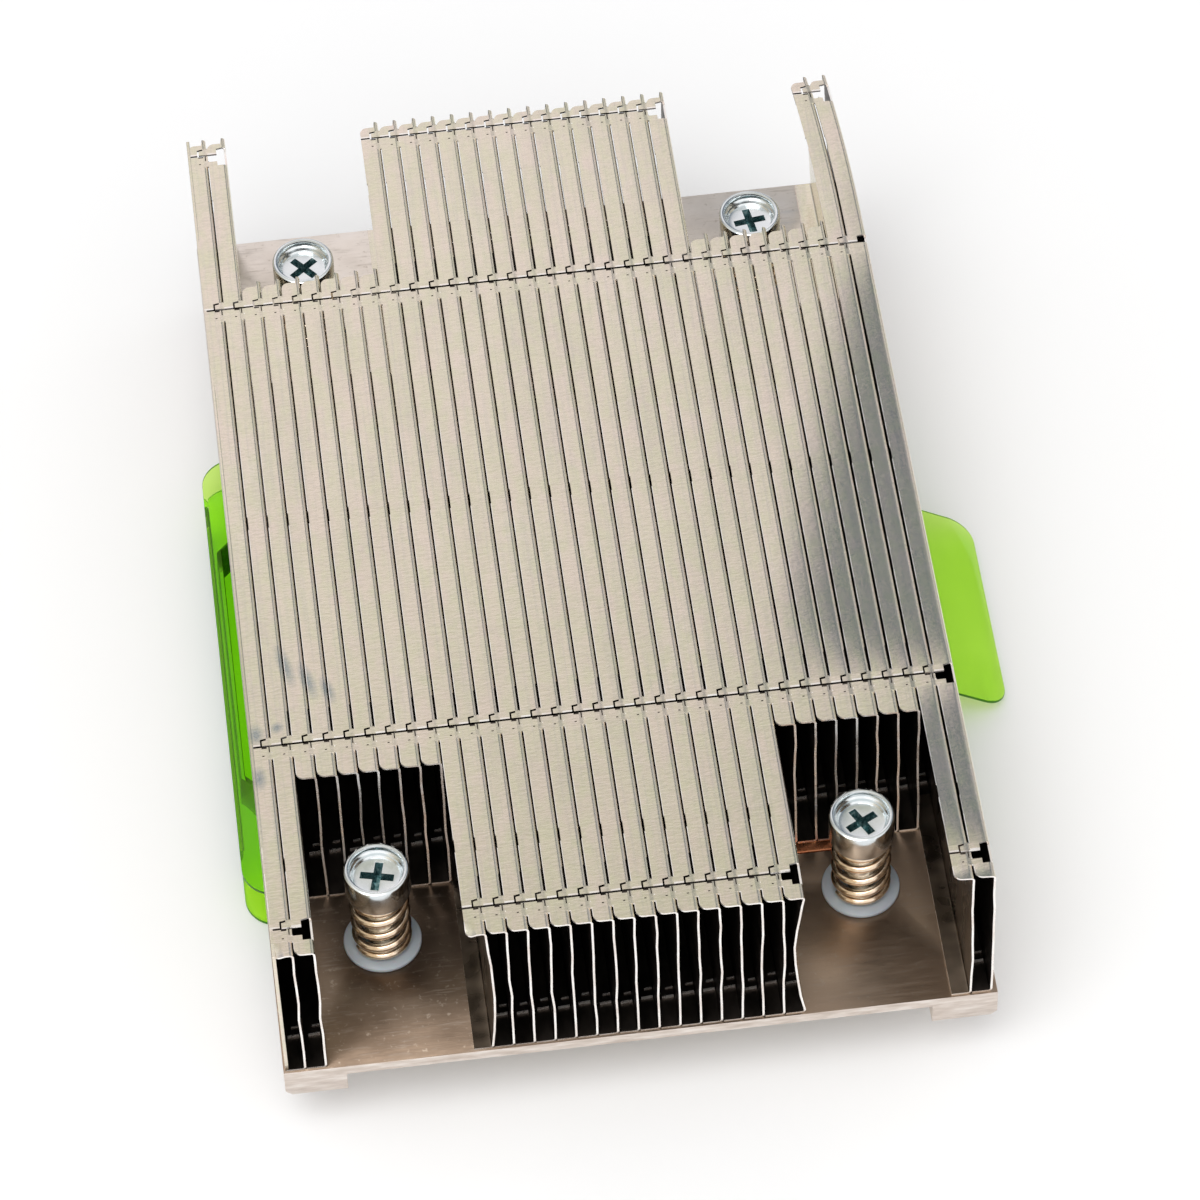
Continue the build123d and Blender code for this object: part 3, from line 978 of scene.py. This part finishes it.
def make_world():
    """Pale studio: bright above, greyer at the horizon, with a dim blue-grey wall high at the right rear."""
    world = bpy.data.worlds.new("studio")
    bpy.context.scene.world = world
    world.use_nodes = True
    tree = world.node_tree
    back = tree.nodes["Background"]
    place = node(tree, "ShaderNodeTexCoord")
    parts = node(tree, "ShaderNodeSeparateXYZ")
    tree.links.new(place.outputs["Generated"], parts.inputs[0])
    height = to_range(tree, parts.outputs["Z"], 0.0, 1.0, 0.05, 0.5)
    ahead = to_range(tree, parts.outputs["Y"], 1.0, 0.0, -0.6, 0.0)
    horizon = mixed(tree, ahead, (0.30, 0.31, 0.33), (0.95, 0.95, 0.95))
    overhead = mixed(tree, ahead, (0.92, 0.91, 0.90), (1.22, 1.21, 1.20))
    sky = mixed(tree, height, horizon, overhead)
    steep = to_range(tree, parts.outputs["Z"], 0.0, 1.0, 0.77, 0.83)
    wall = mixed(tree, steep, (1.04, 0.995, 1.01), (0.62, 0.61, 0.52))
    rightness = to_range(tree, parts.outputs["X"], 0.0, 1.0, 0.12, 0.21)
    wall = mixed(tree, rightness, wall, (0.165, 0.205, 0.25))
    beyond = to_range(tree, parts.outputs["X"], 0.0, 1.0, 0.33, 0.42)
    far = to_range(tree, parts.outputs["Y"], 0.0, 1.0, 0.60, 0.66)
    side = mixed(tree, far, (0.45, 0.47, 0.52), (0.90, 0.87, 0.85))
    wall = mixed(tree, beyond, wall, side)
    leftness = to_range(tree, parts.outputs["X"], 1.0, 0.0, -0.42, -0.28)
    wall = mixed(tree, leftness, wall, (0.45, 0.47, 0.52))
    behind = to_range(tree, parts.outputs["Y"], 0.0, 1.0, 0.30, 0.45)
    raised = to_range(tree, parts.outputs["Z"], 0.0, 1.0, 0.35, 0.5)
    both = node(tree, "ShaderNodeMath", operation="MULTIPLY")
    tree.links.new(behind, both.inputs[0])
    tree.links.new(raised, both.inputs[1])
    tree.links.new(mixed(tree, both.outputs[0], sky, wall), back.inputs["Color"])
    back.inputs["Strength"].default_value = 1.0


def make_floor():
    """A large white floor."""
    made, tree, shader = material("floor_white")
    tone = stretched_noise(tree, 3.0, (1.0, 1.0, 1.0), 1.0)
    colour = ramp(tree, tone, ((0.3, (0.900, 0.903, 0.908)), (0.7, (0.915, 0.918, 0.922))))
    tree.links.new(colour, shader.inputs["Base Color"])
    shader.inputs["Roughness"].default_value = 0.8
    size, depth = 3000.0, -0.05
    corners = [(-size, -size, depth), (size, -size, depth), (size, size, depth), (-size, size, depth)]
    floor = mesh_piece("floor", corners, [[0, 1, 2, 3]], made, smooth=False)


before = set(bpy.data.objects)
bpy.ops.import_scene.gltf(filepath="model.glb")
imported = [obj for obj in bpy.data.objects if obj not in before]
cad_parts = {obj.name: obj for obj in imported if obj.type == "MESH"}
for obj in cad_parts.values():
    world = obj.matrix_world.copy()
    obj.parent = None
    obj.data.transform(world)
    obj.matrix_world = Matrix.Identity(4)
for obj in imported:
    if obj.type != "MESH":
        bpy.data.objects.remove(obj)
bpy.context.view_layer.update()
random.seed(7)
bpy.context.scene.view_settings.view_transform = "Standard"
make_camera()
make_world()
make_floor()
area_light("key", (-0.25, -0.35, 0.9), (0, 0, 0), (0.6, 0.6), 3.3, (1.0, 1.0, 1.0))

FIN = (fin_material(), inside_material(), edge_material(), beside_material())
BASE = base_material()
SIDES = side_material()
RIM = rim_material()
RECESS = recess_material()
COPPER = copper_material()
ZINC = zinc_material()
SPRING = spring_material()
RING = ring_material()
WASHER = washer_material()
COVER = cover_material()

for fin_number in range(1, FIN_COUNT + 1):
    make_fin(fin_number, FIN)
softened("end_plate", "end_sheet", FIN[0], 0.06)
plate = softened("base_plate", "plated_plate", BASE, 0.15)
plate.data.materials.append(SIDES)
for polygon in plate.data.polygons:
    polygon.material_index = 0 if polygon.normal.z > 0.9 else 1
softened("heat_pipe", "flat_pipe", COPPER, 0.25)
film = softened("protective_cover", "film_cover", COVER, 0.12)
film.data.materials.append(RIM)
for polygon in film.data.polygons:
    polygon.material_index = 0 if abs(polygon.normal.z) > 0.5 else 1
for screw_place, cross_turn in (("front_left", -14.0), ("front_right", 28.0), ("rear_left", 40.0), ("rear_right", 8.0)):
    make_screw(screw_place, cross_turn, ZINC)
    make_spring(screw_place, SPRING, math.radians(200.0))
    softened(f"retaining_ring_{screw_place}", f"snap_ring_{screw_place}", RING, 0.08,
             body=f"screw_lift_{screw_place}")
make_washers(WASHER)
